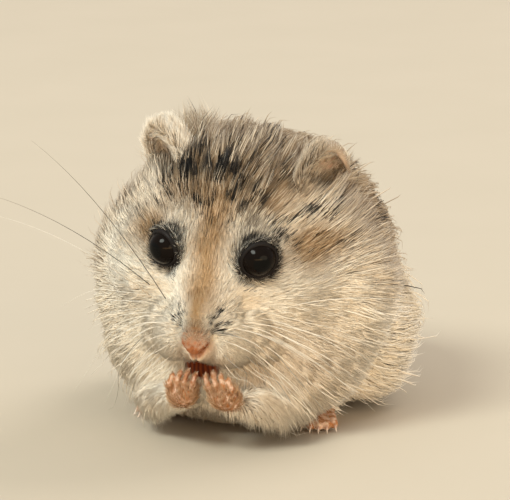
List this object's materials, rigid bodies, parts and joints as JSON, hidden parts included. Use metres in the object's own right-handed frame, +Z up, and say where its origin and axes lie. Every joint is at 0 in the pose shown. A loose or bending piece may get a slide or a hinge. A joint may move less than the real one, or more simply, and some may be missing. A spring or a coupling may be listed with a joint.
{
  "type": "roborovski dwarf hamster",
  "caption": "Life-size still model of a sitting dwarf hamster with a round fluffy sand and cream coat, pale eyebrows, black eyes and forepaws held at its mouth.",
  "frame": {"origin": "on the floor, under the middle of the animal's box", "axes": "+Z up, the face looks along -Y, the animal's left side is +X"},
  "size_m": [0.0398, 0.0494, 0.0393],
  "materials": {
    "coat_upper": "soft agouti fur, sandy with grey-black ticking and slate undercolour",
    "coat_under": "soft white to cream fur",
    "ear_skin": "thin skin with fine pale down",
    "paw_skin": "bare pink skin with fine pale down",
    "nose_skin": "moist fine-grained skin",
    "eye": "wet gloss black",
    "claw": "translucent horn",
    "whisker": "fine stiff hairs, a few of them dark"
  },
  "bodies": {
    "root": {"head": "coat_upper", "neck": "coat_upper", "trunk": "coat_upper", "hind_leg_l": "coat_upper", "hind_leg_r": "coat_upper", "lower_jaw": "coat_under", "foreleg_l": "coat_under", "foreleg_r": "coat_under", "tail": "coat_under", "ear_l": "ear_skin", "ear_r": "ear_skin", "forepaw_l": "paw_skin", "forepaw_r": "paw_skin", "hind_foot_l": "paw_skin", "hind_foot_r": "paw_skin", "nose": "nose_skin", "eye_l": "eye", "eye_r": "eye"}
  },
  "joints": []
}
